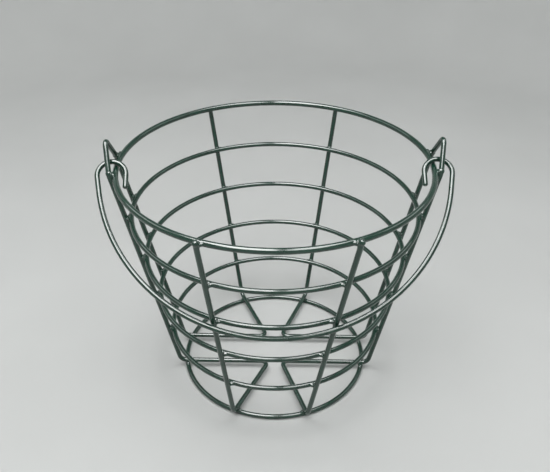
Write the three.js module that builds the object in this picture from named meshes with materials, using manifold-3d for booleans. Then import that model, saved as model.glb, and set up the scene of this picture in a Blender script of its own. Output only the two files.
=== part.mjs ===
// A golf ball bucket: a tapered basket of welded, coated steel wire with a swinging bail.
// Five round hoops stand inside two long bent frame wires and a sixth carries them. Each frame
// wire makes four uprights, half of the floor and one ear, and the bail hooks through the ears.
// Millimetres, +Z up, the front towards -Y, the origin on the floor under the middle.
import * as THREE from 'three';
import { mergeVertices } from 'three/addons/utils/BufferGeometryUtils.js';
import Module from 'manifold-3d';

// Wire diameters, and the gap left between pieces that touch
const RIM_WIRE = 4.8;
const HOOP_WIRE = 4.2;
const FRAME_WIRE = 4.2;
const BAIL_WIRE = 4.2;
const TOUCH_GAP = 0.3;

// Basket, to the middle of the wires
const RIM_RADIUS = 127;
const RIM_HEIGHT = 204.9;
const FOOT_RADIUS = 89.7; // where the line of the wall meets the floor wires
const BASE_INSET = 5.8; // base hoop inside that corner
const WALL_HOOPS = 4; // hoops between the rim and the floor wires

// Uprights, measured across the bucket from its middle plane
const FRONT_LEFT_SPREAD = 55.6;
const FRONT_RIGHT_SPREAD = 53.9;
const REAR_LEFT_SPREAD = 59.3;
const REAR_RIGHT_SPREAD = 61;
const FRONT_LEFT_FOOT = 37.2; // the same uprights at the floor
const FRONT_RIGHT_FOOT = 26.3;
const REAR_LEFT_FOOT = 32.5;
const REAR_RIGHT_FOOT = 35.4;
const SIDE_FRONT_SPREAD = 19; // the two uprights of each side, from the middle of the bucket
const SIDE_REAR_SPREAD = 16;
const SIDE_FOOT_SHIFT = 3.7; // feet of those uprights: to the rear on the left, to the front on the right
const FRONT_END_RISE = 4.4; // cut ends of the front uprights above the middle of the rim
const REAR_END_DROP = 1; // cut ends of the rear uprights below it

// Bends of the frame wires
const FOOT_BEND = 6.5;
const VEE_BEND = 5; // where two floor wires meet near the middle
const FRONT_VEE_INSET = 5.6; // sharp corner of that bend from the middle plane
const REAR_VEE_INSET = 6.8;
const EAR_RISE = 23; // sharp corner of the ear above the rim
const EAR_FLARE = 3; // how far the ear leans out past the uprights
const EAR_BEND = 4.5;
const SHOULDER_BEND = 8; // from the upright into the ear

// Bail
const BAIL_SIDE_ROOM = 13.3; // bail's arc beyond the rim, at the sides
const BAIL_FRONT_ROOM = 15.3; // furthest reach of the bail beyond the rim, from the pivot
const HOOK_BEND = 11.25;
const HOOK_OFFSET = 2.6; // middle of the hook outside the rim
const HOOK_TAIL = 11.5; // straight end of the hook inside the rim
const RIM_PLAY = 0.8; // between the hook and the rim it passes over
const EAR_PLAY = 2.7; // between the hook and the front leg of the ear

// Weld beads
const WELD_LEG = 2.2; // how far a bead spreads beside the wires
const WELD_CROWN = 0.75; // how far it climbs past the middle of each wire

// Facets
const SECTION_SIDES = 8;
const RING_STEPS = 48;
const BEAD_SIDES = 6;
const BEAD_BANDS = 3;
const BEND_STEP = THREE.MathUtils.degToRad(20);
const ARC_STEP = THREE.MathUtils.degToRad(5);

const COAT = { color: 0x22382f, roughness: 0.3, metalness: 0.1 };

const wasm = await Module();
wasm.setup();

const bucket = new THREE.Group();
const point = (x, y, z) => new THREE.Vector3(x, y, z);
const seatOf = (one, other) => (one + other) / 2 + TOUCH_GAP;
// Diameter of a cutter whose flats still clear the wire
const clearOf = (wire) => (wire + 2 * TOUCH_GAP) / Math.cos(Math.PI / SECTION_SIDES);

function addPiece(name, geometry) {
  const mesh = new THREE.Mesh(geometry, new THREE.MeshStandardMaterial(COAT));
  mesh.name = name;
  bucket.add(mesh);
  return mesh;
}

// A bent wire given by stations, each a point and the direction of the wire there.
class BentWire extends THREE.Curve {
  constructor(stations) {
    super();
    this.stations = stations;
  }

  stationAt(u) {
    return this.stations[Math.round(u * (this.stations.length - 1))];
  }

  getPointAt(u, target = new THREE.Vector3()) {
    return target.copy(this.stationAt(u).point);
  }

  getTangentAt(u, target = new THREE.Vector3()) {
    return target.copy(this.stationAt(u).tangent);
  }
}

// The round bend at one corner of a route: its middle, its angle and a function for its stations.
function cornerBend(before, corner, after, radius) {
  const into = corner.clone().sub(before).normalize();
  const out = after.clone().sub(corner).normalize();
  const angle = into.angleTo(out);
  const axis = into.clone().cross(out).normalize();
  const inward = out.clone().sub(into).normalize();
  const middle = corner.clone().addScaledVector(inward, radius / Math.cos(angle / 2));
  const firstSpoke = axis.clone().cross(into).multiplyScalar(-radius);
  const stationAt = (share) => ({
    point: firstSpoke.clone().applyAxisAngle(axis, angle * share).add(middle),
    tangent: into.clone().applyAxisAngle(axis, angle * share),
  });
  return { middle, angle, stationAt };
}

// Stations along a route of straight runs with a round bend at each inner corner.
function routeStations(corners) {
  const last = corners.length - 1;
  const direction = (from, to) => to.point.clone().sub(from.point).normalize();
  const stations = [{ point: corners[0].point, tangent: direction(corners[0], corners[1]) }];
  for (let i = 1; i < last; i += 1) {
    const bend = cornerBend(corners[i - 1].point, corners[i].point, corners[i + 1].point, corners[i].bend);
    const steps = Math.max(2, Math.ceil(bend.angle / BEND_STEP));
    for (let k = 0; k <= steps; k += 1) stations.push(bend.stationAt(k / steps));
  }
  stations.push({ point: corners[last].point, tangent: direction(corners[last - 1], corners[last]) });
  return stations;
}

// Corners of a round section about a middle, with a flat at the bottom.
function sectionCorners(diameter, middle = 0) {
  const corners = [];
  for (let k = 0; k < SECTION_SIDES; k += 1) {
    const angle = ((k + 0.5) / SECTION_SIDES) * 2 * Math.PI - Math.PI / 2;
    const spoke = new THREE.Vector2(Math.cos(angle), Math.sin(angle)).multiplyScalar(diameter / 2);
    corners.push(spoke.add(new THREE.Vector2(middle, 0)));
  }
  return corners;
}

// A solid wire along stations.
function wireGeometry(stations, diameter) {
  const section = new THREE.Shape(sectionCorners(diameter));
  return new THREE.ExtrudeGeometry(section, {
    steps: stations.length - 1,
    extrudePath: new BentWire(stations),
  });
}

// The same stations with both cut ends moved out, for the cutter that clears a wire.
function lengthened(stations, extra) {
  const first = stations[0];
  const last = stations[stations.length - 1];
  return [
    { point: first.point.clone().addScaledVector(first.tangent, -extra), tangent: first.tangent },
    ...stations.slice(1, -1),
    { point: last.point.clone().addScaledVector(last.tangent, extra), tangent: last.tangent },
  ];
}

function ringGeometry(radius, height, diameter) {
  const corners = sectionCorners(diameter, radius);
  const ring = new THREE.LatheGeometry([...corners, corners[0]], RING_STEPS);
  return ring.rotateX(Math.PI / 2).translate(0, 0, height);
}

function toSolid(geometry) {
  const bare = geometry.clone();
  bare.deleteAttribute('normal');
  bare.deleteAttribute('uv');
  const merged = mergeVertices(bare, 1e-4);
  return new wasm.Manifold(new wasm.Mesh({
    numProp: 3,
    vertProperties: new Float32Array(merged.attributes.position.array),
    triVerts: new Uint32Array(merged.index.array),
  }));
}

function toGeometry(solid) {
  const { vertProperties, triVerts } = solid.getMesh();
  const geometry = new THREE.BufferGeometry();
  geometry.setAttribute('position', new THREE.BufferAttribute(vertProperties, 3));
  geometry.setIndex(new THREE.BufferAttribute(triVerts, 1));
  return geometry;
}

// The base hoop stands on its flats and the floor wires lie on top of it.
const rimSeat = seatOf(RIM_WIRE, FRAME_WIRE);
const hoopSeat = seatOf(HOOP_WIRE, FRAME_WIRE);
const baseRadius = FOOT_RADIUS - BASE_INSET;
const baseHeight = (HOOP_WIRE / 2) * Math.cos(Math.PI / SECTION_SIDES);
const floorHeight = baseHeight + hoopSeat;

// Wall: the line of the uprights, seen from the side, and the hoops that stand inside it
const roughLean = Math.atan((RIM_RADIUS - FOOT_RADIUS) / (RIM_HEIGHT - floorHeight));
const uprightTopRadius = RIM_RADIUS + rimSeat / Math.cos(roughLean);
const wallLean = Math.atan((uprightTopRadius - FOOT_RADIUS) / (RIM_HEIGHT - floorHeight));
const uprightRadiusAt = (z) => FOOT_RADIUS + (z - floorHeight) * Math.tan(wallLean);
const hoopPitch = (RIM_HEIGHT - floorHeight) / (WALL_HOOPS + 1);

const hoops = [{ name: 'rim', node: 'rim_hoop', radius: RIM_RADIUS, height: RIM_HEIGHT, wire: RIM_WIRE }];
for (let k = 1; k <= WALL_HOOPS; k += 1) {
  const height = RIM_HEIGHT - k * hoopPitch;
  const radius = uprightRadiusAt(height) - hoopSeat / Math.cos(wallLean);
  hoops.push({ name: `hoop_${k + 1}`, node: `hoop_${k + 1}`, radius, height, wire: HOOP_WIRE });
}
hoops.push({ name: 'base', node: 'base_hoop', radius: baseRadius, height: baseHeight, wire: HOOP_WIRE });

for (const hoop of hoops) {
  addPiece(hoop.node, ringGeometry(hoop.radius, hoop.height, hoop.wire));
  hoop.cutter = toSolid(ringGeometry(hoop.radius, hoop.height, clearOf(hoop.wire)));
}

// Uprights: a point on the wall at a given distance across the bucket, or along it for the sides
const acrossWall = (x, facing, radius, z) => point(x, facing * Math.sqrt(radius ** 2 - x ** 2), z);
const alongWall = (side, y, radius, z) => point(side * Math.sqrt(radius ** 2 - y ** 2), y, z);

function endUpright(name, side, facing, topSpread, footSpread) {
  const rim = acrossWall(side * topSpread, facing, uprightTopRadius, RIM_HEIGHT);
  const foot = acrossWall(side * footSpread, facing, FOOT_RADIUS, floorHeight);
  const rise = rim.clone().sub(foot).normalize();
  const endRise = facing < 0 ? FRONT_END_RISE : -REAR_END_DROP;
  const end = rim.clone().addScaledVector(rise, endRise / rise.z);
  return { name, rim, foot, end };
}

function sideUpright(name, side, y) {
  const rim = alongWall(side, y, uprightTopRadius, RIM_HEIGHT);
  const foot = alongWall(side, y - side * SIDE_FOOT_SHIFT, FOOT_RADIUS, floorHeight);
  return { name, rim, foot };
}

// Middle of each ear, and half its width
const earMiddle = (SIDE_REAR_SPREAD - SIDE_FRONT_SPREAD) / 2;
const earHalf = (SIDE_REAR_SPREAD + SIDE_FRONT_SPREAD) / 2;

// One half of the bucket: rear upright, floor, side upright, ear, side upright, floor, front upright
function frameWire(half, side, rear, front) {
  const sideRear = sideUpright(`${half}_rear`, side, SIDE_REAR_SPREAD);
  const sideFront = sideUpright(`${half}_front`, side, -SIDE_FRONT_SPREAD);
  const rearVee = point(side * REAR_VEE_INSET, SIDE_REAR_SPREAD, floorHeight);
  const frontVee = point(side * FRONT_VEE_INSET, -SIDE_FRONT_SPREAD, floorHeight);
  const earTip = point(sideRear.rim.x + side * EAR_FLARE, earMiddle, RIM_HEIGHT + EAR_RISE);
  const stations = routeStations([
    { point: rear.end },
    { point: rear.foot, bend: FOOT_BEND },
    { point: rearVee, bend: VEE_BEND },
    { point: sideRear.foot, bend: FOOT_BEND },
    { point: sideRear.rim, bend: SHOULDER_BEND },
    { point: earTip, bend: EAR_BEND },
    { point: sideFront.rim, bend: SHOULDER_BEND },
    { point: sideFront.foot, bend: FOOT_BEND },
    { point: frontVee, bend: VEE_BEND },
    { point: front.foot, bend: FOOT_BEND },
    { point: front.end },
  ]);
  const cutter = toSolid(wireGeometry(lengthened(stations, TOUCH_GAP), clearOf(FRAME_WIRE)));
  const uprights = [
    { ...rear, vee: rearVee, cutter },
    { ...sideRear, vee: rearVee, cutter },
    { ...sideFront, vee: frontVee, cutter },
    { ...front, vee: frontVee, cutter },
  ];
  addPiece(`${half}_frame_wire`, wireGeometry(stations, FRAME_WIRE));
  return uprights;
}

const rearLeft = endUpright('rear_left', -1, 1, REAR_LEFT_SPREAD, REAR_LEFT_FOOT);
const frontLeft = endUpright('front_left', -1, -1, FRONT_LEFT_SPREAD, FRONT_LEFT_FOOT);
const rearRight = endUpright('rear_right', 1, 1, REAR_RIGHT_SPREAD, REAR_RIGHT_FOOT);
const frontRight = endUpright('front_right', 1, -1, FRONT_RIGHT_SPREAD, FRONT_RIGHT_FOOT);
const uprights = [
  ...frameWire('left', -1, rearLeft, frontLeft),
  ...frameWire('right', 1, rearRight, frontRight),
];

// Where a floor wire, followed in from the foot, lies above the base hoop
function overBaseHoop({ foot, vee }) {
  const inward = new THREE.Ray(foot, vee.clone().sub(foot).normalize());
  const overBase = new THREE.Sphere(point(0, 0, floorHeight), baseRadius);
  return inward.intersectSphere(overBase, new THREE.Vector3());
}

// Where a hoop and a frame wire lie against each other: the middle of the joint and its directions
function crossing(hoop, upright) {
  const seat = seatOf(hoop.wire, FRAME_WIRE);
  const isBase = hoop.name === 'base';
  const run = (isBase ? upright.vee : upright.rim).clone().sub(upright.foot);
  const share = (hoop.height - upright.foot.z) / run.z;
  const wirePoint = isBase ? overBaseHoop(upright) : upright.foot.clone().addScaledVector(run, share);
  const outward = point(wirePoint.x, wirePoint.y, 0).normalize();
  const along = point(-outward.y, outward.x, 0);
  const across = along.clone().cross(run).normalize();
  const middle = point(0, 0, hoop.height).addScaledVector(outward, hoop.radius);
  return { middle: middle.addScaledVector(across, seat / 2), along, across, seat };
}

// A weld bead: a flat round drop at the crossing, cut clear of both wires
function weldGeometry(hoop, upright) {
  const { middle, along, across, seat } = crossing(hoop, upright);
  const spread = Math.max(hoop.wire, FRAME_WIRE) / 2 + TOUCH_GAP + WELD_LEG;
  const depth = seat / 2 + WELD_CROWN;
  const bead = new THREE.SphereGeometry(1, BEAD_SIDES, BEAD_BANDS);
  bead.scale(spread, depth, spread);
  bead.applyMatrix4(new THREE.Matrix4().makeBasis(along, across, along.clone().cross(across)));
  bead.translate(middle.x, middle.y, middle.z);
  return toGeometry(toSolid(bead).subtract(hoop.cutter).subtract(upright.cutter));
}

for (const hoop of hoops) {
  for (const upright of uprights) {
    addPiece(`weld_${hoop.name}_${upright.name}`, weldGeometry(hoop, upright));
  }
}

// Bail, drawn in its own plane: X across, Z down from the pivot as negative values
const bailRadius = RIM_RADIUS + BAIL_SIDE_ROOM;
const bailMiddle = point(0, 0, bailRadius - (RIM_RADIUS + BAIL_FRONT_ROOM));
const hookMiddle = point(RIM_RADIUS + HOOK_OFFSET, 0, -HOOK_BEND);

// The straight legs touch both the bail's arc and the hook's bend from outside.
const hookBearing = hookMiddle.clone().sub(bailMiddle);
const legTurn = Math.acos((bailRadius - HOOK_BEND) / hookBearing.length());
const legAngle = Math.atan2(hookBearing.z, hookBearing.x) - legTurn;

function arcStations(middle, radius, from, to, step) {
  const steps = Math.ceil(Math.abs(to - from) / step);
  const stations = [];
  for (let k = 0; k <= steps; k += 1) {
    const angle = from + ((to - from) * k) / steps;
    const spoke = point(Math.cos(angle), 0, Math.sin(angle));
    const tangent = point(Math.sin(angle), 0, -Math.cos(angle)).multiplyScalar(Math.sign(from - to));
    stations.push({ point: spoke.multiplyScalar(radius).add(middle), tangent });
  }
  return stations;
}

function bailStations() {
  const leftMiddle = point(-hookMiddle.x, 0, hookMiddle.z);
  const tail = (x, heading) => ({
    point: point(x, 0, -HOOK_BEND - HOOK_TAIL),
    tangent: point(0, 0, heading),
  });
  const inner = hookMiddle.x - HOOK_BEND;
  return [
    tail(-inner, 1),
    ...arcStations(leftMiddle, HOOK_BEND, 0, Math.PI - legAngle, BEND_STEP),
    ...arcStations(bailMiddle, bailRadius, -Math.PI - legAngle, legAngle, ARC_STEP),
    ...arcStations(hookMiddle, HOOK_BEND, legAngle, Math.PI, BEND_STEP),
    tail(inner, -1),
  ];
}

// Pivot: over the rim, in the front corner of the ears
const pivotRise = (RIM_WIRE + BAIL_WIRE) / 2 + RIM_PLAY;
const earSlant = Math.hypot(earHalf, EAR_RISE) / EAR_RISE;
const earReach = earHalf * (1 - pivotRise / EAR_RISE);
const pivotReach = earReach - ((FRAME_WIRE + BAIL_WIRE) / 2 + EAR_PLAY) * earSlant;
const pivot = point(0, earMiddle - pivotReach, RIM_HEIGHT + pivotRise);

// Least distance between the middle of the bail, hung at an angle below level, and the front uprights
function clearanceAt(hang, stations) {
  const turn = new THREE.Matrix4().makeRotationX(hang - Math.PI / 2).setPosition(pivot);
  const hung = stations.map((station) => station.point.clone().applyMatrix4(turn));
  let least = Infinity;
  for (const { foot, rim } of [frontLeft, frontRight]) {
    const line = new THREE.Ray(foot, rim.clone().sub(foot).normalize());
    for (let k = 1; k < hung.length; k += 1) {
      least = Math.min(least, line.distanceSqToSegment(hung[k - 1], hung[k]));
    }
  }
  return Math.sqrt(least);
}

// The bail hangs forward and comes to rest against the two front uprights.
function restingHang(stations) {
  const seat = seatOf(BAIL_WIRE, FRAME_WIRE);
  let above = 0;
  let below = above;
  const search = THREE.MathUtils.degToRad(0.5);
  while (clearanceAt(below, stations) > seat && below < Math.PI / 2) below += search;
  above = below - search;
  for (let k = 0; k < 30; k += 1) {
    const trial = (above + below) / 2;
    if (clearanceAt(trial, stations) > seat) above = trial;
    else below = trial;
  }
  return above;
}

const stationsOfBail = bailStations();
const bail = addPiece('bail', wireGeometry(stationsOfBail, BAIL_WIRE));
bail.position.copy(pivot);
bail.rotation.x = restingHang(stationsOfBail) - Math.PI / 2;

export default bucket;
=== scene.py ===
"""The looks of a wire golf ball bucket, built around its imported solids. All sizes are in metres."""

import math

import bpy
import numpy as np
from mathutils import Matrix, Quaternion, Vector


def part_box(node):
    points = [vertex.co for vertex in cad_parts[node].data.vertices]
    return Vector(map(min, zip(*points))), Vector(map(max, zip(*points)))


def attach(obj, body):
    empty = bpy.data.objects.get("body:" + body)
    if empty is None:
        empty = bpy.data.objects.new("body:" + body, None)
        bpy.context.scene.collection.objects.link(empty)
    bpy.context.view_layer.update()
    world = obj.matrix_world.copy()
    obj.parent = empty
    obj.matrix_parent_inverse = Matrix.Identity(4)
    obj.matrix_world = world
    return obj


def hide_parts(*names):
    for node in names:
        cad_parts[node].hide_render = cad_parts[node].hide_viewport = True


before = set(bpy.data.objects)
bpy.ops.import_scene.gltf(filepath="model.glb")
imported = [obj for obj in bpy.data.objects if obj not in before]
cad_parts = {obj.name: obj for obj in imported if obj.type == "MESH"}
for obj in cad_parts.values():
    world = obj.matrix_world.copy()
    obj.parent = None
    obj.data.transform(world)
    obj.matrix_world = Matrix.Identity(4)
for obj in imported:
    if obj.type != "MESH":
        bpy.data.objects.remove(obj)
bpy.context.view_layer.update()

# Wires
RIM_WIRE = 0.0048
HOOP_WIRE = 0.0042
FRAME_WIRE = 0.0042
BAIL_WIRE = 0.0042
TOUCH_GAP = 0.0003

# Basket
RIM_RADIUS = 0.127
RIM_HEIGHT = 0.2049
FOOT_RADIUS = 0.0897  # where the line of the wall meets the floor wires
BASE_INSET = 0.0058  # base hoop inside that corner
BASE_HEIGHT = 0.00194
WALL_HOOPS = 4

# Uprights, from the middle plane of the bucket: at the rim and at the floor
FRONT_LEFT = (0.0556, 0.0372)
FRONT_RIGHT = (0.0539, 0.0263)
REAR_LEFT = (0.0593, 0.0325)
REAR_RIGHT = (0.061, 0.0354)
SIDE_FRONT_SPREAD = 0.019
SIDE_REAR_SPREAD = 0.016
SIDE_FOOT_SHIFT = 0.0037  # feet of those uprights: to the rear on the left, to the front on the right
FRONT_END_RISE = 0.0044  # cut ends of the front uprights above the middle of the rim
REAR_END_DROP = 0.001  # cut ends of the rear uprights below it

# Bends of the frame wires
FOOT_BEND = 0.0065
VEE_BEND = 0.005
FRONT_VEE_INSET = 0.0056
REAR_VEE_INSET = 0.0068
EAR_RISE = 0.023
EAR_TRIM = 0.00003  # keeps the round wire under the flats of its solid
EAR_FLARE = 0.003
EAR_BEND = 0.0045
SHOULDER_BEND = 0.008

# Bail
BAIL_RADIUS = 0.1403
BAIL_REACH = 0.1423  # furthest point of the bail from its pivot
HOOK_BEND = 0.01125
HOOK_TAIL = 0.0115
BAIL_PIVOT = Vector((0, -0.0062972, 0.2102))
BAIL_HANG = math.radians(39.35539)  # below level, against the front uprights

# Coating
WIRE_SIDES = 24
SOLID_SIDES = 8  # flats of a wire's section in the solids
STATION_STEP = 0.0012
BEND_STEP = 0.0006
LEAST_BEND_STEPS = 4
END_DOME = 0.0013  # rounding of the coating over a cut end
END_STEPS = 6
END_FLAT = 0.4  # share of the wire's width that stays flat there
COAT_WAVE = 0.00002  # how much the thickness of the coating wanders
COAT_WAVE_LENGTH = 0.005

# Welds
WELD_FILLET = 0.003  # how widely metal and coating fill the corner between two wires
WELD_REACH = 0.0064  # from the middle of a joint to where its bead ends, inside the wires
WELD_MARGIN = 1.1  # block in which a bead is made, as a share of that reach
WELD_FADE = (0.45, 0.85)  # shares of the reach between which it sinks into the wires
WELD_SINK = 0.0003  # how deep in the wires it ends
WELD_GRAIN = 0.0005  # unevenness of the bead
WELD_GRAIN_LENGTH = 0.0022
WELD_FINENESS = 0.00025  # size of the bead's faces
FLASH = 0.001  # radius of the metal pressed out on the hoop, each side of an upright
FLASH_BESIDE = 0.0027  # its middle from the middle of the joint
FLASH_RISE = 0.0005
FLASH_SEAT = 0.0004  # nearer to the hoop than to the upright
END_DROP = 0.0027  # radius of the drop of coating over the cut end of an upright
END_FILLET = 0.0012  # how widely that drop runs into the wires
SHOULDER_STRAIGHT = 0.0011  # each way from the middle of a shoulder, where the bend hardly shows
FAR = 1.0  # past every joint, for a wire that doesn't end there

# Finish of the coating: how fine its patches are, to a metre, and how deep they go
DARK_COAT = (0.005, 0.029, 0.0175)
LIGHT_COAT = (0.008, 0.042, 0.026)
TINT_SCALE = 85
TINT_NOISE = (0.3, 0.7)  # stretch of the noise that goes from the dark colour to the light one
GLOSS_SCALE = 140
GLOSS_NOISE = (0.35, 0.7)  # stretch of the noise that goes from the glossiest patches to the dullest
ROUGHNESS = (0.12, 0.2)  # of those patches
RUN_SCALE = 190
RUN_DEPTH = 0.0004  # slow runs in the coating
PEEL_SCALE = 800
PEEL_DEPTH = 0.00008  # fine peel over them
WIRE_PEEL = 0.03  # how strongly runs and peel show
BAIL_PEEL = 0.045
WELD_PEEL = 0.06
COAT_IOR = 1.5
CLEAR_LAYER = 0.4  # share of a clear layer on top
CLEAR_ROUGHNESS = 0.08

# Floor: level round the bucket, then a curve up to a wall
DARK_FLOOR = (0.55, 0.56, 0.55)
LIGHT_FLOOR = (0.58, 0.59, 0.58)
FLOOR_SCALE = 6
FLOOR_ROUGHNESS = 0.85
FLOOR_GLOSS = 0.2
FLOOR_MIDDLE = 0.001  # radius of the face in the middle
FLOOR_FLAT = 0.8
FLOOR_CURVE = 0.35
FLOOR_WALL = 0.8
FLOOR_CURVE_STEPS = 16
FLOOR_SPOKES = 96

# Light
LAMP_HEIGHT = 1.25
LAMP_DEPTH = 1.2
SHINE_DROP = 0.01  # of a lamp's card below it
SKY = (0.95, 0.98, 1.0)
SKY_STRENGTH = 0.25

# Camera, at the angle of the photograph
CAMERA_AIM = Vector((0, 0, 0.134428))
CAMERA_DISTANCE = 0.5898
CAMERA_ELEVATION = math.radians(33.0245)
CAMERA_TURN = math.radians(1.6)  # to the left of the middle plane
CAMERA_ROLL = math.radians(0.268)
CAMERA_LENS = 44.672
CAMERA_SENSOR = 36

# Directions
UP = Vector((0, 0, 1))
LEFT = -1
RIGHT = 1
FRONT = -1
REAR = 1


# Nodes


def node(tree, kind, **settings):
    made = tree.nodes.new(kind)
    for name, value in settings.items():
        setattr(made, name, value)
    return made


def feed(tree, socket, value):
    """A plain value is set on a socket, and another node's socket is linked to it."""
    if isinstance(value, bpy.types.NodeSocket):
        tree.links.new(value, socket)
    else:
        socket.default_value = value


def calculate(tree, operation, *values):
    sums = node(tree, "ShaderNodeMath", operation=operation)
    for socket, value in zip(sums.inputs, values):
        feed(tree, socket, value)
    return sums.outputs["Value"]


def vectors(tree, operation, *values):
    sums = node(tree, "ShaderNodeVectorMath", operation=operation)
    for socket, value in zip(sums.inputs, values):
        feed(tree, socket, value)
    return sums.outputs["Value" if operation in ("DOT_PRODUCT", "LENGTH") else "Vector"]


def scaled(tree, vector, share):
    sums = node(tree, "ShaderNodeVectorMath", operation="SCALE")
    feed(tree, sums.inputs["Vector"], vector)
    feed(tree, sums.inputs["Scale"], share)
    return sums.outputs["Vector"]


def combined(tree, x, y, z):
    vector = node(tree, "ShaderNodeCombineXYZ")
    for socket, value in zip(vector.inputs, (x, y, z)):
        feed(tree, socket, value)
    return vector.outputs["Vector"]


def noise_on(tree, place, scale, detail):
    texture = node(tree, "ShaderNodeTexNoise")
    feed(tree, texture.inputs["Vector"], place)
    feed(tree, texture.inputs["Scale"], scale)
    feed(tree, texture.inputs["Detail"], detail)
    return texture.outputs["Fac"]


# Finishes


def bump_on(tree, height, strength, distance, normal=None):
    bump = node(tree, "ShaderNodeBump")
    feed(tree, bump.inputs["Height"], height)
    feed(tree, bump.inputs["Strength"], strength)
    feed(tree, bump.inputs["Distance"], distance)
    if normal:
        feed(tree, bump.inputs["Normal"], normal)
    return bump.outputs["Normal"]


def patchy_colour(tree, place, dark, light, scale, detail):
    tint = node(tree, "ShaderNodeValToRGB")
    low, high = tint.color_ramp.elements
    low.position, high.position = TINT_NOISE
    low.color = (*dark, 1)
    high.color = (*light, 1)
    feed(tree, tint.inputs["Fac"], noise_on(tree, place, scale, detail))
    return tint.outputs["Color"]


def coated_finish(name, peel_strength):
    """Glossy dark green coating: patchy depth of colour, patchy gloss, slow runs and a fine peel."""
    material = bpy.data.materials.new(name)
    material.use_nodes = True
    tree = material.node_tree
    shader = tree.nodes["Principled BSDF"]
    place = node(tree, "ShaderNodeTexCoord").outputs["Object"]
    colour = patchy_colour(tree, place, DARK_COAT, LIGHT_COAT, TINT_SCALE, detail=4)
    feed(tree, shader.inputs["Base Color"], colour)

    gloss = node(tree, "ShaderNodeMapRange")
    feed(tree, gloss.inputs["Value"], noise_on(tree, place, GLOSS_SCALE, detail=3))
    limits = ("From Min", "From Max", "To Min", "To Max")
    for limit, value in zip(limits, GLOSS_NOISE + ROUGHNESS):
        feed(tree, gloss.inputs[limit], value)
    feed(tree, shader.inputs["Roughness"], gloss.outputs["Result"])

    runs = bump_on(tree, noise_on(tree, place, RUN_SCALE, detail=1), peel_strength, RUN_DEPTH)
    peel = bump_on(tree, noise_on(tree, place, PEEL_SCALE, detail=2), peel_strength, PEEL_DEPTH, runs)
    feed(tree, shader.inputs["Normal"], peel)
    feed(tree, shader.inputs["Coat Normal"], runs)

    shader.inputs["IOR"].default_value = COAT_IOR
    shader.inputs["Coat Weight"].default_value = CLEAR_LAYER
    shader.inputs["Coat Roughness"].default_value = CLEAR_ROUGHNESS
    shader.inputs["Coat IOR"].default_value = COAT_IOR
    return material


def floor_finish():
    material = bpy.data.materials.new("pale_floor")
    material.use_nodes = True
    tree = material.node_tree
    shader = tree.nodes["Principled BSDF"]
    place = node(tree, "ShaderNodeTexCoord").outputs["Object"]
    colour = patchy_colour(tree, place, DARK_FLOOR, LIGHT_FLOOR, FLOOR_SCALE, detail=2)
    feed(tree, shader.inputs["Base Color"], colour)
    shader.inputs["Roughness"].default_value = FLOOR_ROUGHNESS
    shader.inputs["Specular IOR Level"].default_value = FLOOR_GLOSS
    return material


# Wires and welds as trees of Geometry Nodes


def add_inputs(tree, **kinds):
    tree.interface.new_socket("Geometry", in_out="INPUT", socket_type="NodeSocketGeometry")
    for name, kind in kinds.items():
        label = name.replace("_", " ").capitalize()
        tree.interface.new_socket(label, in_out="INPUT", socket_type=f"NodeSocket{kind}")
    tree.interface.new_socket("Geometry", in_out="OUTPUT", socket_type="NodeSocketGeometry")
    return node(tree, "NodeGroupInput").outputs, node(tree, "NodeGroupOutput").inputs


def attribute(tree, name, kind):
    read = node(tree, "GeometryNodeInputNamedAttribute", data_type=kind)
    read.inputs["Name"].default_value = name
    return read.outputs["Attribute"]


def finish_tree(tree, geometry, inputs, outputs):
    """Every tree ends alike: real copies, smooth faces and the finish."""
    real = node(tree, "GeometryNodeRealizeInstances")
    smooth = node(tree, "GeometryNodeSetShadeSmooth")
    finish = node(tree, "GeometryNodeSetMaterial")
    feed(tree, real.inputs["Geometry"], geometry)
    feed(tree, smooth.inputs["Geometry"], real.outputs["Geometry"])
    feed(tree, finish.inputs["Geometry"], smooth.outputs["Geometry"])
    feed(tree, finish.inputs["Material"], inputs["Finish"])
    feed(tree, outputs["Geometry"], finish.outputs["Geometry"])


def wire_tree():
    """A round coated wire along a line of points, whose swell says how full it is at each one."""
    tree = bpy.data.node_groups.new("coated_wire", "GeometryNodeTree")
    inputs, outputs = add_inputs(
        tree, wire="Float", sides="Int", coat_wave="Float", wave_length="Float", finish="Material"
    )
    line = node(tree, "GeometryNodeMeshToCurve")
    feed(tree, line.inputs["Mesh"], inputs["Geometry"])
    section = node(tree, "GeometryNodeCurvePrimitiveCircle")
    feed(tree, section.inputs["Resolution"], inputs["Sides"])
    feed(tree, section.inputs["Radius"], calculate(tree, "MULTIPLY", inputs["Wire"], 0.5))
    sweep = node(tree, "GeometryNodeCurveToMesh")
    feed(tree, sweep.inputs["Curve"], line.outputs["Curve"])
    feed(tree, sweep.inputs["Profile Curve"], section.outputs["Curve"])
    feed(tree, sweep.inputs["Scale"], attribute(tree, "Swell", "FLOAT"))
    feed(tree, sweep.inputs["Fill Caps"], True)

    place = node(tree, "GeometryNodeInputPosition").outputs["Position"]
    wander = noise_on(tree, place, calculate(tree, "DIVIDE", 1, inputs["Wave length"]), detail=1)
    depth = calculate(tree, "MULTIPLY", calculate(tree, "SUBTRACT", wander, 0.5), inputs["Coat wave"])
    coated = node(tree, "GeometryNodeSetPosition")
    feed(tree, coated.inputs["Geometry"], sweep.outputs["Mesh"])
    outward = node(tree, "GeometryNodeInputNormal").outputs["Normal"]
    feed(tree, coated.inputs["Offset"], scaled(tree, outward, depth))
    finish_tree(tree, coated.outputs["Geometry"], inputs, outputs)
    return tree


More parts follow.
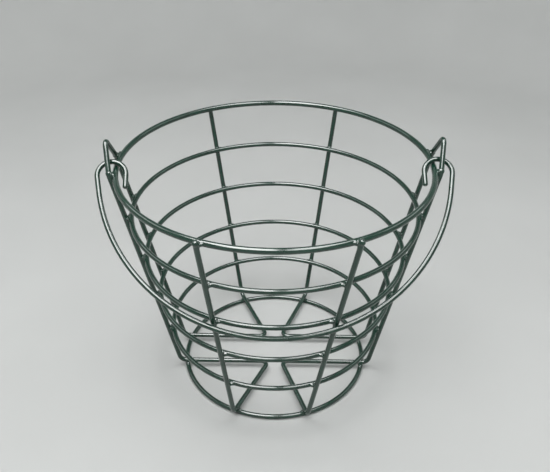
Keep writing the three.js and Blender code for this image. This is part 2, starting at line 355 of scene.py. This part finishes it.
def hoop_distance(tree, place, inputs):
    """How far a place lies from the skin of a level ring round the middle of the bucket."""
    from_axis = vectors(tree, "LENGTH", vectors(tree, "MULTIPLY", place, (1, 1, 0)))
    out = calculate(tree, "SUBTRACT", from_axis, inputs["Ring radius"])
    up = calculate(tree, "SUBTRACT", vectors(tree, "DOT_PRODUCT", place, UP), inputs["Ring height"])
    half_wire = calculate(tree, "MULTIPLY", inputs["Hoop wire"], 0.5)
    return calculate(tree, "SUBTRACT", vectors(tree, "LENGTH", combined(tree, out, up, 0)), half_wire)


def upright_distance(tree, place, joint, inputs):
    """How far a place lies from the skin of a straight wire that may start or end near the joint."""
    aside = vectors(tree, "SUBTRACT", place, joint["On wire"])
    travel = vectors(tree, "DOT_PRODUCT", aside, joint["Run"])
    travel = calculate(tree, "MAXIMUM", calculate(tree, "MINIMUM", travel, joint["End"]), joint["Start"])
    straight = vectors(tree, "SUBTRACT", aside, scaled(tree, joint["Run"], travel))
    half_wire = calculate(tree, "MULTIPLY", inputs["Upright wire"], 0.5)
    return calculate(tree, "SUBTRACT", vectors(tree, "LENGTH", straight), half_wire)


def flash_distance(tree, from_middle, joint, inputs):
    """How far a place lies from the two drops of metal pressed out on the hoop beside the upright."""
    across = vectors(tree, "NORMALIZE", vectors(tree, "SUBTRACT", joint["On wire"], joint["Middle"]))
    beside = calculate(tree, "ABSOLUTE", vectors(tree, "DOT_PRODUCT", from_middle, joint["Along"]))
    rise = vectors(tree, "DOT_PRODUCT", from_middle, joint["Run"])
    from_drop = combined(
        tree,
        calculate(tree, "SUBTRACT", beside, inputs["Flash beside"]),
        calculate(tree, "SUBTRACT", rise, inputs["Flash rise"]),
        calculate(tree, "ADD", vectors(tree, "DOT_PRODUCT", from_middle, across), inputs["Flash seat"]),
    )
    return calculate(tree, "SUBTRACT", vectors(tree, "LENGTH", from_drop), inputs["Flash"])


def end_drop_distance(tree, place, joint, inputs):
    """How far a place lies from the drop of coating over the cut end of an upright."""
    tip = vectors(tree, "ADD", joint["On wire"], scaled(tree, joint["Run"], joint["End"]))
    away = vectors(tree, "LENGTH", vectors(tree, "SUBTRACT", place, tip))
    return calculate(tree, "SUBTRACT", away, inputs["End drop"])


def each_joint(tree, place, inputs):
    """Goes through the joints of a hoop one by one, with what is known of each."""
    each = node(tree, "GeometryNodeForeachGeometryElementInput")
    made = node(tree, "GeometryNodeForeachGeometryElementOutput", domain="POINT")
    each.pair_with_output(made)
    made.generation_items.clear()
    made.generation_items.new("GEOMETRY", "Bead")
    feed(tree, each.inputs["Geometry"], inputs["Geometry"])
    for name in ("Middle", "On wire", "Run", "Along"):
        made.input_items.new("VECTOR", name)
    for name in ("Start", "End"):
        made.input_items.new("FLOAT", name)
    feed(tree, each.inputs["Middle"], place)
    for name in ("On wire", "Run", "Along"):
        feed(tree, each.inputs[name], attribute(tree, name, "FLOAT_VECTOR"))
    for name in ("Start", "End"):
        feed(tree, each.inputs[name], attribute(tree, name, "FLOAT"))
    return each.outputs, made


def bead_skin(tree, place, joint, inputs):
    """How far a place lies from the skin of the joint, in which its wires and drops run together.

    Away from the joint it sinks into the wires, so that only the filled corners and the drops show.
    """
    from_middle = vectors(tree, "SUBTRACT", place, joint["Middle"])
    away = vectors(tree, "LENGTH", from_middle)
    skin = calculate(
        tree,
        "SMOOTH_MIN",
        hoop_distance(tree, place, inputs),
        upright_distance(tree, place, joint, inputs),
        inputs["Fillet"],
    )
    flash = flash_distance(tree, from_middle, joint, inputs)
    skin = calculate(tree, "SMOOTH_MIN", skin, flash, inputs["Fillet"])
    end_drop = end_drop_distance(tree, place, joint, inputs)
    skin = calculate(tree, "SMOOTH_MIN", skin, end_drop, inputs["End fillet"])

    rough = noise_on(tree, place, calculate(tree, "DIVIDE", 1, inputs["Grain length"]), detail=1)
    skin = calculate(tree, "MULTIPLY_ADD", calculate(tree, "SUBTRACT", rough, 0.5), inputs["Grain"], skin)
    fade = node(tree, "ShaderNodeMapRange", interpolation_type="SMOOTHSTEP")
    feed(tree, fade.inputs["Value"], away)
    for limit, share in zip(("From Min", "From Max"), WELD_FADE):
        feed(tree, fade.inputs[limit], calculate(tree, "MULTIPLY", inputs["Reach"], share))
    feed(tree, fade.inputs["To Max"], inputs["Sink"])
    skin = calculate(tree, "ADD", skin, fade.outputs["Result"])
    return calculate(tree, "MAXIMUM", skin, calculate(tree, "SUBTRACT", away, inputs["Reach"]))


def bead_mesh(tree, skin, joint, inputs):
    """The faces of one bead, found in a block around its joint."""
    block = node(tree, "GeometryNodeVolumeCube")
    half_block = calculate(tree, "MULTIPLY", inputs["Reach"], WELD_MARGIN)
    corner = combined(tree, half_block, half_block, half_block)
    feed(tree, block.inputs["Density"], calculate(tree, "MULTIPLY", skin, -1))
    feed(tree, block.inputs["Background"], -FAR)
    feed(tree, block.inputs["Min"], vectors(tree, "SUBTRACT", joint["Middle"], corner))
    feed(tree, block.inputs["Max"], vectors(tree, "ADD", joint["Middle"], corner))
    width = calculate(tree, "MULTIPLY", half_block, 2)
    steps = calculate(tree, "CEIL", calculate(tree, "DIVIDE", width, inputs["Fineness"]))
    for axis in "XYZ":
        feed(tree, block.inputs[f"Resolution {axis}"], steps)
    bead = node(tree, "GeometryNodeVolumeToMesh")
    feed(tree, bead.inputs["Volume"], block.outputs["Volume"])
    feed(tree, bead.inputs["Threshold"], 0)
    return bead.outputs["Mesh"]


def weld_tree():
    """A bead on each joint of a hoop, where metal and coating fill the corners between the wires."""
    tree = bpy.data.node_groups.new("weld_beads", "GeometryNodeTree")
    lengths = (
        "hoop_wire", "ring_radius", "ring_height", "upright_wire",
        "fillet", "reach", "sink", "grain", "grain_length", "fineness",
        "flash", "flash_beside", "flash_rise", "flash_seat", "end_drop", "end_fillet",
    )
    inputs, outputs = add_inputs(tree, **{name: "Float" for name in lengths}, finish="Material")
    place = node(tree, "GeometryNodeInputPosition").outputs["Position"]
    joint, made = each_joint(tree, place, inputs)
    skin = bead_skin(tree, place, joint, inputs)
    feed(tree, made.inputs["Bead"], bead_mesh(tree, skin, joint, inputs))
    finish_tree(tree, made.outputs["Bead"], inputs, outputs)
    return tree


def grow(piece, tree, **values):
    """Runs a tree on a piece and keeps what it makes as the piece's plain mesh."""
    sockets = {item.name: item.identifier for item in tree.interface.items_tree if item.in_out == "INPUT"}
    modifier = piece.modifiers.new(tree.name, "NODES")
    modifier.node_group = tree
    for name, value in values.items():
        modifier[sockets[name.replace("_", " ").capitalize()]] = value
    seen = piece.evaluated_get(bpy.context.evaluated_depsgraph_get())
    grown = bpy.data.meshes.new_from_object(seen)
    piece.modifiers.remove(modifier)
    piece.data = grown
    return piece


# Routes of the wires


def round_bend(before, corner, after, radius):
    """Points of the round bend at one corner of a route."""
    into = (corner - before).normalized()
    out = (after - corner).normalized()
    angle = into.angle(out)
    axis = into.cross(out).normalized()
    middle = corner + (out - into).normalized() * (radius / math.cos(angle / 2))
    spoke = axis.cross(into) * -radius
    steps = max(LEAST_BEND_STEPS, math.ceil(angle * radius / BEND_STEP))
    return [middle + Quaternion(axis, angle * k / steps) @ spoke for k in range(steps + 1)]


def bent_route(corners):
    """Straight runs with a round bend at each inner corner."""
    route = [corners[0][0]]
    for (before, _), (corner, bend), (after, _) in zip(corners, corners[1:], corners[2:]):
        route += round_bend(before, corner, after, bend)
    route.append(corners[-1][0])
    return route


def arc(middle, radius, start, stop):
    """Points of an arc in the plane of X and Z."""
    steps = math.ceil(abs(stop - start) * radius / BEND_STEP)
    angles = np.linspace(start, stop, steps + 1)
    return [middle + radius * Vector((math.cos(a), 0, math.sin(a))) for a in angles]


def stations_along(route):
    """Even stations along an open route, closer together over its two rounded cut ends."""
    points = np.array([tuple(p) for p in route])
    travel = np.concatenate(([0], np.cumsum(np.linalg.norm(np.diff(points, axis=0), axis=1))))
    length = travel[-1]
    turn = np.linspace(0, math.pi / 2, END_STEPS, endpoint=False)
    rounding = END_DOME * (1 - np.cos(turn))
    body = np.linspace(END_DOME, length - END_DOME, math.ceil(length / STATION_STEP))
    places = np.concatenate((rounding, body, length - rounding[::-1]))
    crown = END_FLAT + (1 - END_FLAT) * np.sin(turn)
    swell = np.concatenate((crown, np.ones(len(body)), crown[::-1]))
    stations = np.stack([np.interp(places, travel, points[:, axis]) for axis in range(3)], axis=1)
    return stations, swell


def ring_stations(radius, height):
    steps = math.ceil(2 * math.pi * radius / STATION_STEP)
    angles = np.arange(steps) * 2 * math.pi / steps
    return np.stack([radius * np.cos(angles), radius * np.sin(angles), np.full(steps, height)], axis=1)


# Pieces


def new_piece(name, points, edges, **attributes):
    """An object of points and edges, with a value or a vector for each point."""
    mesh = bpy.data.meshes.new(name)
    mesh.from_pydata([tuple(p) for p in points], edges, [])
    for label, values in attributes.items():
        values = np.array([tuple(v) if isinstance(v, Vector) else v for v in values])
        kind, field = ("FLOAT_VECTOR", "vector") if values.ndim > 1 else ("FLOAT", "value")
        layer = mesh.attributes.new(label.replace("_", " ").capitalize(), kind, "POINT")
        layer.data.foreach_set(field, values.ravel())
    piece = bpy.data.objects.new(name, mesh)
    bpy.context.scene.collection.objects.link(piece)
    return piece


def coated_wire(name, stations, wire, body, finish, swell=None):
    """One wire of the bucket. Without a swell it is a closed ring."""
    count = len(stations)
    edges = [(k, k + 1) for k in range(count - 1)]
    if swell is None:
        edges.append((count - 1, 0))
        swell = np.ones(count)
    piece = new_piece(f"coated_{name}", stations, edges, swell=swell)
    grow(
        piece,
        WIRES,
        wire=wire - 2 * COAT_WAVE,
        sides=WIRE_SIDES,
        coat_wave=COAT_WAVE,
        wave_length=COAT_WAVE_LENGTH,
        finish=finish,
    )
    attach(piece, body)
    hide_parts(name)


def weld_beads(hoop, joints):
    """All the beads of one hoop, as one piece that stands for their solids."""
    known = ("on_wire", "run", "along", "start", "end")
    values = {name: [joint[name] for joint in joints] for name in known}
    piece = new_piece(f"{hoop['name']}_welds", [joint["middle"] for joint in joints], [], **values)
    grow(
        piece,
        WELDS,
        hoop_wire=hoop["wire"],
        ring_radius=hoop["ring_radius"],
        ring_height=hoop["ring_height"],
        upright_wire=FRAME_WIRE,
        fillet=WELD_FILLET,
        reach=WELD_REACH,
        sink=WELD_SINK,
        grain=WELD_GRAIN,
        grain_length=WELD_GRAIN_LENGTH,
        fineness=WELD_FINENESS,
        flash=FLASH,
        flash_beside=FLASH_BESIDE,
        flash_rise=FLASH_RISE,
        flash_seat=FLASH_SEAT,
        end_drop=END_DROP,
        end_fillet=END_FILLET,
        finish=WELD_COAT,
    )
    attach(piece, "basket")
    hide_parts(*[joint["node"] for joint in joints])


WIRE_COAT = coated_finish("dark_green_coat", WIRE_PEEL)
BAIL_COAT = coated_finish("dark_green_coat_on_bail", BAIL_PEEL)
WELD_COAT = coated_finish("dark_green_coat_on_welds", WELD_PEEL)
WIRES = wire_tree()
WELDS = weld_tree()


# Hoops

rim_seat = (RIM_WIRE + FRAME_WIRE) / 2 + TOUCH_GAP
hoop_seat = (HOOP_WIRE + FRAME_WIRE) / 2 + TOUCH_GAP
floor_height = BASE_HEIGHT + hoop_seat
wall_height = RIM_HEIGHT - floor_height
rough_lean = math.atan((RIM_RADIUS - FOOT_RADIUS) / wall_height)
upright_top_radius = RIM_RADIUS + rim_seat / math.cos(rough_lean)
wall_lean = math.atan((upright_top_radius - FOOT_RADIUS) / wall_height)


def lay_hoop(name, node_name, radius, height, wire):
    """A ring whose full round section stays within the flats of its solid's section."""
    flats = wire / 2 * (1 - math.cos(math.pi / SOLID_SIDES))
    ring_radius = radius - flats
    ring_height = height + flats if name == "base" else height
    coated_wire(node_name, ring_stations(ring_radius, ring_height), wire, "basket", WIRE_COAT)
    return {
        "name": name, "height": height, "wire": wire, "ring_radius": ring_radius, "ring_height": ring_height
    }


hoops = [lay_hoop("rim", "rim_hoop", RIM_RADIUS, RIM_HEIGHT, RIM_WIRE)]
for number in range(2, WALL_HOOPS + 2):
    hoop_height = RIM_HEIGHT - (number - 1) * wall_height / (WALL_HOOPS + 1)
    wall_radius = FOOT_RADIUS + (hoop_height - floor_height) * math.tan(wall_lean)
    hoop_radius = wall_radius - hoop_seat / math.cos(wall_lean)
    hoops.append(lay_hoop(f"hoop_{number}", f"hoop_{number}", hoop_radius, hoop_height, HOOP_WIRE))
hoops.append(lay_hoop("base", "base_hoop", FOOT_RADIUS - BASE_INSET, BASE_HEIGHT, HOOP_WIRE))


# Frame wires


def end_upright(name, side, facing, spreads):
    top, bottom = spreads
    rim = Vector((side * top, facing * math.sqrt(upright_top_radius**2 - top**2), RIM_HEIGHT))
    foot = Vector((side * bottom, facing * math.sqrt(FOOT_RADIUS**2 - bottom**2), floor_height))
    rise = (rim - foot).normalized()
    end_rise = FRONT_END_RISE if facing == FRONT else -REAR_END_DROP
    return {"name": name, "rim": rim, "foot": foot, "end": rim + rise * (end_rise / rise.z)}


def side_upright(name, side, y):
    foot_y = y - side * SIDE_FOOT_SHIFT
    rim = Vector((side * math.sqrt(upright_top_radius**2 - y**2), y, RIM_HEIGHT))
    foot = Vector((side * math.sqrt(FOOT_RADIUS**2 - foot_y**2), foot_y, floor_height))
    return {"name": name, "rim": rim, "foot": foot}


def frame_wire(half, side, rear, front):
    """One half of the bucket, from its rear upright by floor, ear and floor to its front upright."""
    side_rear = side_upright(f"{half}_rear", side, SIDE_REAR_SPREAD)
    side_front = side_upright(f"{half}_front", side, -SIDE_FRONT_SPREAD)
    rear_vee = Vector((side * REAR_VEE_INSET, SIDE_REAR_SPREAD, floor_height))
    front_vee = Vector((side * FRONT_VEE_INSET, -SIDE_FRONT_SPREAD, floor_height))
    ear_middle = (SIDE_REAR_SPREAD - SIDE_FRONT_SPREAD) / 2
    ear_height = RIM_HEIGHT + EAR_RISE - EAR_TRIM
    ear_tip = Vector((side_rear["rim"].x + side * EAR_FLARE, ear_middle, ear_height))
    route = bent_route([
        (rear["end"], 0),
        (rear["foot"], FOOT_BEND),
        (rear_vee, VEE_BEND),
        (side_rear["foot"], FOOT_BEND),
        (side_rear["rim"], SHOULDER_BEND),
        (ear_tip, EAR_BEND),
        (side_front["rim"], SHOULDER_BEND),
        (side_front["foot"], FOOT_BEND),
        (front_vee, VEE_BEND),
        (front["foot"], FOOT_BEND),
        (front["end"], 0),
    ])
    stations, swell = stations_along(route)
    coated_wire(f"{half}_frame_wire", stations, FRAME_WIRE, "basket", WIRE_COAT, swell)
    rear["vee"] = side_rear["vee"] = rear_vee
    front["vee"] = side_front["vee"] = front_vee
    side_rear["ear"] = side_front["ear"] = ear_tip
    return [rear, side_rear, side_front, front]


rear_left = end_upright("rear_left", LEFT, REAR, REAR_LEFT)
front_left = end_upright("front_left", LEFT, FRONT, FRONT_LEFT)
rear_right = end_upright("rear_right", RIGHT, REAR, REAR_RIGHT)
front_right = end_upright("front_right", RIGHT, FRONT, FRONT_RIGHT)
uprights = [
    *frame_wire("left", LEFT, rear_left, front_left),
    *frame_wire("right", RIGHT, rear_right, front_right),
]


# Welds


def floor_crossing(hoop, upright):
    """Where a floor wire passes over the base hoop, its way there and where it is straight from."""
    run = (upright["vee"] - upright["foot"]).normalized()
    rise = (upright["rim"] - upright["foot"]).normalized()
    foot = Vector((*upright["foot"].xy, 0))
    lean = foot.dot(run)
    walk = -lean - math.sqrt(lean**2 - foot.length_squared + hoop["ring_radius"] ** 2)
    bend_length = FOOT_BEND / math.tan(run.angle(rise) / 2)
    return upright["foot"] + run * walk, run, bend_length - walk, FAR


def shoulder_crossing(upright):
    """Where a side upright passes the rim, in the middle of its bend towards the ear."""
    into = (upright["rim"] - upright["foot"]).normalized()
    out = (upright["ear"] - upright["rim"]).normalized()
    cut = SHOULDER_BEND * (1 / math.cos(into.angle(out) / 2) - 1)
    passing = upright["rim"] + (out - into).normalized() * cut
    return passing, (into + out).normalized(), -SHOULDER_STRAIGHT, SHOULDER_STRAIGHT


def wall_crossing(hoop, upright):
    """Where an upright passes a hoop. At the rim, a front or rear upright comes to its end."""
    run = (upright["rim"] - upright["foot"]).normalized()
    passing = upright["foot"] + run * ((hoop["height"] - floor_height) / run.z)
    end = FAR
    if hoop["name"] == "rim":
        end = (upright["end"] - passing).dot(run) - FRAME_WIRE / 2
    return passing, run, -FAR, end


def joint_of(hoop, upright):
    """Where a hoop and a frame wire meet, which way each runs and how far the frame wire is straight."""
    if hoop["name"] == "base":
        passing, run, start, end = floor_crossing(hoop, upright)
    elif hoop["name"] == "rim" and "ear" in upright:
        passing, run, start, end = shoulder_crossing(upright)
    else:
        passing, run, start, end = wall_crossing(hoop, upright)
    outward = Vector((*passing.xy, 0)).normalized()
    on_hoop = outward * hoop["ring_radius"] + UP * hoop["ring_height"]
    shift = (on_hoop - passing).dot(run)
    on_wire = passing + run * shift
    return {
        "node": f"weld_{hoop['name']}_{upright['name']}",
        "middle": (on_wire + on_hoop) / 2,
        "on_wire": on_wire,
        "run": run,
        "along": UP.cross(outward),
        "start": start - shift,
        "end": end - shift,
    }


for hoop in hoops:
    weld_beads(hoop, [joint_of(hoop, upright) for upright in uprights])


# Bail


def bail_route(hook_middle):
    """The bail as it would hang straight down from its pivot. Its legs touch the arc and the hooks."""
    arc_middle = Vector((0, 0, BAIL_RADIUS - BAIL_REACH))
    right = Vector((hook_middle, 0, -HOOK_BEND))
    left = Vector((-hook_middle, 0, -HOOK_BEND))
    bearing = right - arc_middle
    leg = math.atan2(bearing.z, bearing.x) - math.acos((BAIL_RADIUS - HOOK_BEND) / bearing.length)
    tail = Vector((hook_middle - HOOK_BEND, 0, -HOOK_BEND - HOOK_TAIL))
    return [
        Vector((-tail.x, 0, tail.z)),
        *arc(left, HOOK_BEND, 0, math.pi - leg),
        *arc(arc_middle, BAIL_RADIUS, -math.pi - leg, leg),
        *arc(right, HOOK_BEND, leg, math.pi),
        tail,
    ]


bail_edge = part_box("bail")[1][0]
hung = Matrix.Translation(BAIL_PIVOT) @ Matrix.Rotation(BAIL_HANG - math.pi / 2, 4, "X")
bail_line = [hung @ p for p in bail_route(bail_edge - BAIL_WIRE / 2 - HOOK_BEND)]
bail_stations, bail_swell = stations_along(bail_line)
coated_wire("bail", bail_stations, BAIL_WIRE, "bail", BAIL_COAT, bail_swell)


# Floor, light and camera


def lay_floor():
    """A pale round floor that turns up into a low wall, so that every view has one plain ground."""
    outline = [(FLOOR_MIDDLE, 0), (FLOOR_FLAT, 0)]
    for k in range(1, FLOOR_CURVE_STEPS + 1):
        angle = k / FLOOR_CURVE_STEPS * math.pi / 2
        out = FLOOR_FLAT + FLOOR_CURVE * math.sin(angle)
        outline.append((out, FLOOR_CURVE * (1 - math.cos(angle))))
    outline.append((FLOOR_FLAT + FLOOR_CURVE, FLOOR_WALL))
    turns = [2 * math.pi * k / FLOOR_SPOKES for k in range(FLOOR_SPOKES)]
    points = [(out * math.cos(t), out * math.sin(t), up) for out, up in outline for t in turns]
    faces = [tuple(range(FLOOR_SPOKES))]
    for band in range(len(outline) - 1):
        near = band * FLOOR_SPOKES
        far = near + FLOOR_SPOKES
        for k in range(FLOOR_SPOKES):
            beside = (k + 1) % FLOOR_SPOKES
            faces.append((near + k, far + k, far + beside, near + beside))
    mesh = bpy.data.meshes.new("floor")
    mesh.from_pydata(points, [], faces)
    mesh.shade_smooth()
    mesh.materials.append(floor_finish())
    floor = bpy.data.objects.new("floor", mesh)
    bpy.context.scene.collection.objects.link(floor)


def hang_softbox(name, x, y, width, brightness, shine):
    """A soft lamp over the bucket, and a card below it that only gloss can see.

    Brightness is what a mirror would show, so the power follows from the size. The card keeps the
    highlights as crisp and white as on the real coating without more light on the bucket.
    """
    for part, level, drop in ((name, brightness, 0), (f"{name}_shine", shine, SHINE_DROP)):
        lamp = bpy.data.lights.new(part, "AREA")
        lamp.shape = "RECTANGLE"
        lamp.size = width
        lamp.size_y = LAMP_DEPTH
        lamp.energy = level * math.pi * width * LAMP_DEPTH
        box = bpy.data.objects.new(part, lamp)
        box.location = (x, y, LAMP_HEIGHT - drop)
        box.visible_diffuse = part == name
        bpy.context.scene.collection.objects.link(box)


def set_camera():
    lens = bpy.data.cameras.new("camera")
    lens.sensor_width = CAMERA_SENSOR
    lens.lens = CAMERA_LENS
    camera = bpy.data.objects.new("camera", lens)
    level = math.cos(CAMERA_ELEVATION)
    aside = -level * math.sin(CAMERA_TURN)
    back = Vector((aside, -level * math.cos(CAMERA_TURN), math.sin(CAMERA_ELEVATION)))
    camera.location = CAMERA_AIM + back * CAMERA_DISTANCE
    aim = back.to_track_quat("Z", "Y").to_matrix() @ Matrix.Rotation(CAMERA_ROLL, 3, "Z")
    camera.rotation_euler = aim.to_euler()
    bpy.context.scene.collection.objects.link(camera)
    bpy.context.scene.camera = camera


lay_floor()
hang_softbox("left_softbox", x=-0.31, y=-0.3, width=0.62, brightness=4.3, shine=11.6)
hang_softbox("right_softbox", x=0.31, y=-0.3, width=0.42, brightness=4.1, shine=7)
hang_softbox("left_fill", x=-1.15, y=0.5, width=0.6, brightness=0.3, shine=3)
hang_softbox("right_fill", x=1.15, y=0.5, width=0.6, brightness=0.3, shine=2.2)

world = bpy.data.worlds.new("studio")
world.use_nodes = True
sky = world.node_tree.nodes["Background"].inputs
sky["Color"].default_value = (*SKY, 1)
sky["Strength"].default_value = SKY_STRENGTH
bpy.context.scene.world = world
bpy.context.scene.view_settings.view_transform = "Standard"
set_camera()
